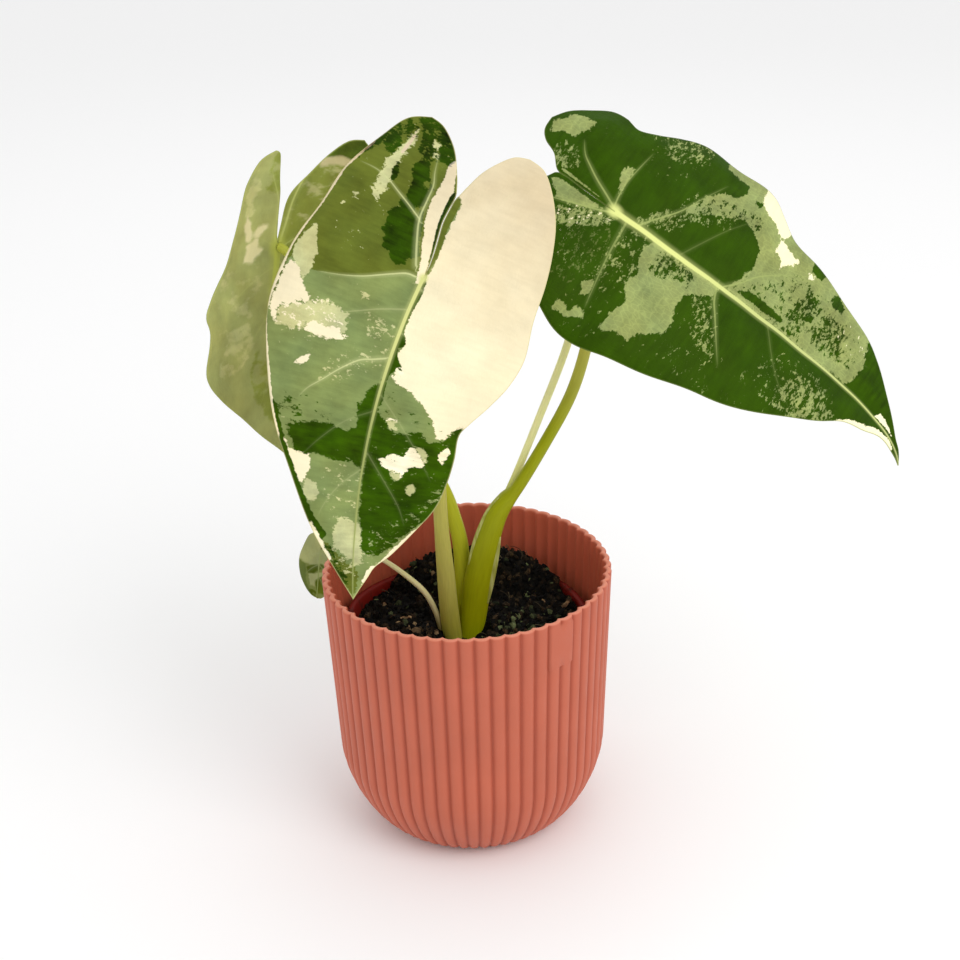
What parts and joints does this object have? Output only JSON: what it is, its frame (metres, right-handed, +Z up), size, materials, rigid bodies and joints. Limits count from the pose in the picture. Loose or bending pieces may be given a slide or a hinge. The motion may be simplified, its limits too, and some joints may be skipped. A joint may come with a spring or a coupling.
{
  "type": "potted frydek alocasia",
  "caption": "Young variegated frydek alocasia with arrow-shaped leaves on slim stalks, in a nursery pot inside a round ribbed cover pot.",
  "frame": {"origin": "middle of the cover pot's flat base", "axes": "+Z up out of the pot, -Y towards the viewer of the leaf faces, +X towards the leaf that hangs over the right side"},
  "size_m": [0.2475, 0.1191, 0.2738],
  "materials": {
    "cover_pot": "matte moulded salmon-pink plastic",
    "nursery_pot": "thin dark red thermoformed plastic, slight sheen",
    "soil": "dark moist potting mix of peat, bark and perlite",
    "stem": "brownish green stem base with old leaf scars",
    "leaf_front": "velvety leaf, half cream-white, half dark and grey-green patches, pale veins",
    "leaf_right": "dark green velvety leaf with grey-green patches, cream marks and pale veins",
    "leaf_rear": "leaf seen from below, pale matte olive with soft mottling and raised veins",
    "leaf_small": "small dark leaf with grey-green bands along the veins",
    "stalk_front": "smooth pale olive stalk",
    "stalk_right": "smooth yellow-green stalk with a swollen sheath and thin pale edges",
    "stalk_rear": "smooth yellow-green stalk",
    "stalk_small": "thin pale stalk",
    "new_shoot": "pale yellow young stalk with a furled leaf"
  },
  "bodies": {
    "root": {"cover_pot": "cover_pot", "nursery_pot": "nursery_pot", "soil": "soil", "stem_base": "stem", "leaf_front_blade": "leaf_front", "leaf_right_blade": "leaf_right", "leaf_rear_blade": "leaf_rear", "leaf_small_blade": "leaf_small", "leaf_front_stalk": "stalk_front", "leaf_right_stalk": "stalk_right", "leaf_rear_stalk": "stalk_rear", "leaf_small_stalk": "stalk_small", "new_shoot": "new_shoot"}
  },
  "joints": []
}
